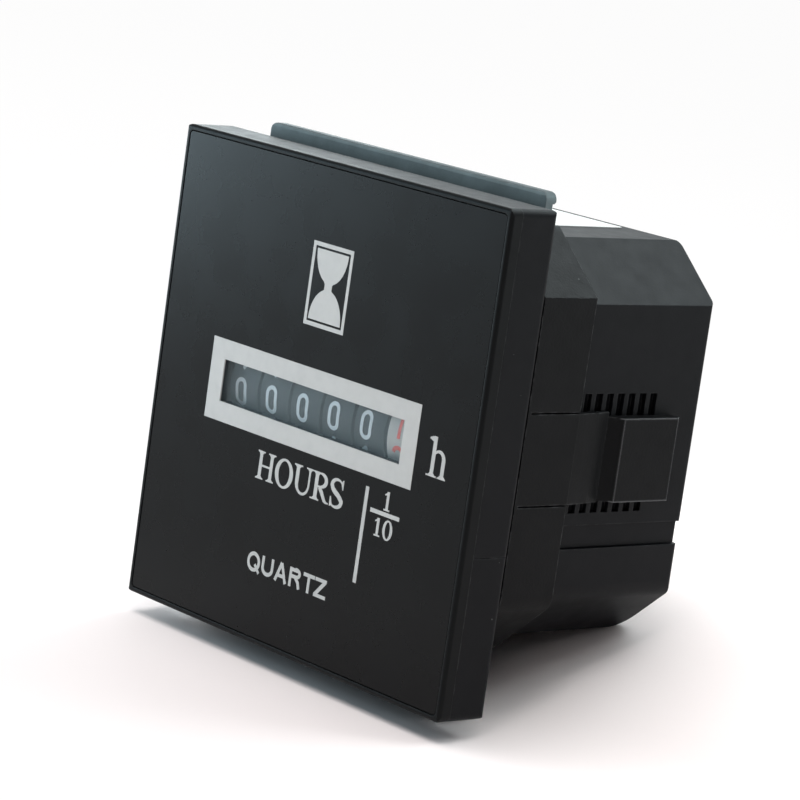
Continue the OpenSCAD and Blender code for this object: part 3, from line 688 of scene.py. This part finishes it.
def triangles(loops, holes, cuts):
    """Points and triangles of the union of the loops less the holes, cut at those heights."""
    verts, edges, faces = [], [], []
    for loop in map(turned_left, [*loops, *holes]):
        first = len(verts)
        verts += [Vector(p) for p in loop]
        faces.append(list(range(first, len(verts))))
    xs = [v.x for v in verts]
    for z in cuts:
        edges.append((len(verts), len(verts) + 1))
        verts += [Vector((min(xs) - CUT_OVERHANG, z)), Vector((max(xs) + CUT_OVERHANG, z))]
    points, _, found, _, _, origin = delaunay_2d_cdt(
        verts, edges, faces, CDT_TRIANGLES, CDT_EPSILON)
    solid = len(loops)
    kept = []
    for face, sources in zip(found, origin):
        if sources and all(s < solid for s in sources):
            a, b, c = (points[i] for i in face)
            flip = (b - a).cross(c - a) < 0
            kept.append(face[::-1] if flip else face)
    return points, kept


def layer_faces(layer, verts, faces):
    """Adds a layer to the lists as one closed thin solid."""
    points, found = triangles(layer.loops, layer.holes, layer.cuts)
    used = sorted({i for face in found for i in face})
    index = {old: k for k, old in enumerate(used)}
    base, count = len(verts), len(used)
    for height in (layer.low, layer.high):
        verts += [layer.place(points[i].x, points[i].y, height) for i in used]
    sides = {}
    for face in found:
        corners = [index[i] for i in face]
        faces.append([base + count + i for i in corners])
        faces.append([base + i for i in reversed(corners)])
        for a, b in zip(corners, corners[1:] + corners[:1]):
            sides[(a, b)] = True
    for a, b in sides:
        if (b, a) not in sides:
            faces.append([base + a, base + b, base + count + b, base + count + a])


def print_layers(name, ink, layers):
    """One object of all the layers, in that ink."""
    verts, faces = [], []
    for layer in layers:
        layer_faces(layer, verts, faces)
    mesh = bpy.data.meshes.new(name)
    mesh.from_pydata([tuple(c * MM for c in v) for v in verts], [], faces)
    mesh.validate()
    mesh.materials.append(ink)
    return add_object(name, mesh)


def on_face(x, z, height):
    """A point of the printed sheet, which sits a touch off the bezel's middle and off square."""
    return (x + PRINT_SHIFT + PRINT_LEAN * z, FACE_Y - height, z * PRINT_STRETCH)


def face_mark(name, loops, holes=()):
    layer = Layer(loops, holes, (), on_face, -INK_FOOT, INK)
    piece = print_layers(name, materials["white_print"], [layer])
    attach(piece, "case")


def on_drum(centre_x, middle, x, z, height):
    """A point around a drum, with z upwards along the surface from the angle of the middle."""
    turn = middle + z / DRUM_R
    reach = DRUM_R + height
    return (centre_x + x, AXIS_Y - reach * math.cos(turn), AXIS_Z + reach * math.sin(turn))


def drum_digits(name, body, centre_x, zero_deg, ink):
    """All ten digits around one drum, the 0 at that angle above the front."""
    layers = []
    for n in range(10):
        middle = math.radians(zero_deg - PITCH_DEG * n)
        place = partial(on_drum, centre_x, middle)
        layers.append(Layer(digit_loops(n), (), DIGIT_CUTS, place, -DIGIT_FOOT, DIGIT_INK))
    piece = print_layers(name, ink, layers)
    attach(piece, body)


# Stage and light

FLOOR_Z = -26.07
# Where the ramp starts, has its full slope, begins to level off and ends, along y
RAMP = (-6, 10, 25, 39)
RAMP_SLOPE = 0.3725
RAMP_STEPS = 60
FLOOR_REACH = 3000
FLOOR_TONES = ((0.945, 0.85, 0.832), (0.965, 0.874, 0.856))
FLOOR_CLOUD = 30
# Point on the floor around which it is as lit, and the distances between which it turns white
GLOW_AROUND = (10, 14)
GLOW_FROM, GLOW_TO = 23, 84
GLOW_MOST = 0.95

# Direction of the world's bright side, the cosines between which it grows, and its level
BRIGHT_SIDE = (-0.352, 0.755, 0.553)
BRIGHT_FROM, BRIGHT_TO = 0.05, 0.75
BRIGHT_LEVEL = 0.85
WORLD_COLOR = (0.96, 0.985, 1)

# Name, place, aim, width and height, watts, colour
LIGHTS = (
    ("over_front", (-40, -150, 600), (0, 0, -20), (500, 400), 2.75, WHITE),
    ("right_high", (430, -200, 460), (0, 5, -20), (300, 300), 0.42, WHITE),
    ("right_back", (105, 88, 18), (23, 8, 8), (40, 40), 0.012, (0.85, 0.96, 1)),
    ("card_behind", (40, 270, 320), (0, 5, 0), (420, 160), 1.1, (0.84, 0.97, 1)),
    ("window_left", (-395, -295, 70), (0, 0, 0), (120, 240), 0.5, (0.66, 0.88, 1)),
    ("sheen_left", (-168, -74, 24), (-24, -5, 10), (55, 70), 0.138, (0.68, 0.89, 1)),
    ("card_left_back", (-150, 100, 50), (-24, 0, 24), (50, 60), 0.05, (0.86, 0.97, 1)),
    ("card_mid_back", (-80, 95, 95), (20, 0, 24), (50, 50), 0.022, (0.86, 0.97, 1)),
)


def floor_profile():
    """The floor from front to back: level, then up a ramp to the housing's rear edge, then level.

    The meter lies back on its lower flange and its rear edge, so the floor touches both."""
    start, full, easing, end = RAMP
    step = (end - start) / RAMP_STEPS
    z = FLOOR_Z
    points = [(-FLOOR_REACH, z), (start, z)]
    for k in range(RAMP_STEPS):
        y = start + (k + 0.5) * step
        rise = min((y - start) / (full - start), 1, (end - y) / (end - easing))
        z += RAMP_SLOPE * rise * step
        points.append((start + (k + 1) * step, z))
    return [*points, (FLOOR_REACH, z)]


def floor_material():
    """Pale and matt. Near the object it is as lit, with its shadow, and farther off it is white."""
    material = bpy.data.materials.new("pale_floor")
    tree = empty_tree(material)
    output = new_node(tree, "OutputMaterial")
    path = new_node(tree, "LightPath").outputs
    seen = path["Is Camera Ray"]
    for kind in ("Is Glossy Ray", "Is Transmission Ray"):
        seen = new_node(tree, "Math", {0: seen, 1: path[kind]}, operation="MAXIMUM").outputs[0]
    place = new_node(tree, "TexCoord").outputs["Object"]
    away = place
    centre = (GLOW_AROUND[0] * MM, GLOW_AROUND[1] * MM, 0)
    for operation, other in (("SUBTRACT", centre), ("MULTIPLY", (1, 1, 0))):
        away = new_node(tree, "VectorMath", {0: away, 1: other}, operation=operation).outputs[0]
    away = new_node(tree, "VectorMath", {0: away}, operation="LENGTH").outputs["Value"]
    glow = new_node(tree, "MapRange", {
        "Value": away, "From Min": GLOW_FROM * MM, "From Max": GLOW_TO * MM,
        "To Min": 0.0, "To Max": GLOW_MOST,
    }, interpolation_type="SMOOTHSTEP").outputs["Result"]
    glow = new_node(tree, "Math", {0: glow, 1: seen}, operation="MULTIPLY").outputs[0]
    cloud = new_node(tree, "TexNoise", {
        "Vector": place, "Scale": 1 / (FLOOR_CLOUD * MM), "Detail": 3.0}).outputs["Fac"]
    dark, light = ((*tone, 1) for tone in FLOOR_TONES)
    tone = new_node(tree, "Mix", {MIX_FACTOR: cloud, MIX_A: dark, MIX_B: light}, data_type="RGBA")
    matt = new_node(tree, "BsdfDiffuse", {"Color": tone.outputs[MIX_RESULT]}).outputs[0]
    white = new_node(tree, "Emission", {"Color": (*WHITE, 1), "Strength": 1.0}).outputs[0]
    both = new_node(tree, "MixShader", {0: glow, 1: matt, 2: white}).outputs[0]
    tree.links.new(both, output.inputs[0])
    return material


def make_floor():
    profile = floor_profile()
    verts = [(x * MM, y * MM, z * MM) for x in (-FLOOR_REACH, FLOOR_REACH) for y, z in profile]
    n = len(profile)
    mesh = bpy.data.meshes.new("floor")
    mesh.from_pydata(verts, [], [(k, k + 1, n + k + 1, n + k) for k in range(n - 1)])
    for polygon in mesh.polygons:
        polygon.use_smooth = True
    mesh.materials.append(floor_material())
    floor = add_object("floor", mesh)


def area_light(name, at, aim, size, power, color):
    """Soft box at a place, turned to its aim."""
    data = bpy.data.lights.new(name, "AREA")
    data.shape = "RECTANGLE"
    data.size, data.size_y = size[0] * MM, size[1] * MM
    data.energy = power
    data.color = color
    light = add_object(name, data)
    light.location = Vector(at) * MM
    light.rotation_euler = (Vector(at) - Vector(aim)).to_track_quat("Z", "Y").to_euler()
    light.visible_camera = False


def make_world():
    """White to the camera. All other rays see its soft light, which comes from the bright side."""
    world = bpy.data.worlds.new("studio")
    bpy.context.scene.world = world
    tree = empty_tree(world)
    output = new_node(tree, "OutputWorld")
    path = new_node(tree, "LightPath").outputs
    towards = new_node(tree, "TexCoord").outputs["Generated"]
    facing = new_node(tree, "VectorMath", {0: towards, 1: BRIGHT_SIDE}, operation="DOT_PRODUCT")
    level = new_node(tree, "MapRange", {
        "Value": facing.outputs["Value"], "From Min": BRIGHT_FROM, "From Max": BRIGHT_TO,
        "To Min": 0.0, "To Max": BRIGHT_LEVEL,
    }, interpolation_type="SMOOTHSTEP").outputs["Result"]
    seen = new_node(tree, "Background", {"Color": (*WHITE, 1), "Strength": 1.0}).outputs[0]
    lit = new_node(tree, "Background", {"Color": (*WORLD_COLOR, 1), "Strength": level}).outputs[0]
    pick = new_node(tree, "MixShader", {0: path["Is Camera Ray"], 1: lit, 2: seen}).outputs[0]
    tree.links.new(pick, output.inputs[0])


# The object
make_camera()
materials = make_materials()
for entry in frame["record"]["subparts"]:
    node = frame["nodes"][entry["node"]]
    node.data.materials.clear()
    node.data.materials.append(materials[entry["material_slot"]])

face_mark("print_hours", *hours_word())
face_mark("print_quartz", quartz_word())
outer, inner, glass = hourglass_sign()
face_mark("print_hourglass_frame", outer, inner)
face_mark("print_hourglass", glass)
face_mark("print_tenth", *tenth_mark())
face_mark("print_h", h_mark())

# The digits' middle along x, and how far each 0 stands above the front in degrees
for name, body, middle_x, zero_deg in (
        ("digits_1", "digit_1", 7.2, 1.5), ("digits_2", "digit_2", 2.42, -0.7),
        ("digits_3", "digit_3", -2.26, -3.6), ("digits_4", "digit_4", -7.02, -6.2),
        ("digits_5", "digit_5", -11.76, -8.5)):
    drum_digits(name, body, middle_x, zero_deg, materials["drum_ink"])
# The tenths have their 1 near the front, so their 0 is one digit farther up
drum_digits("digits_tenths", "tenths", 11.92, 13.4 + PITCH_DEG, materials["red_ink"])

make_floor()
for row in LIGHTS:
    area_light(*row)
make_world()
bpy.context.scene.view_settings.view_transform = "Standard"
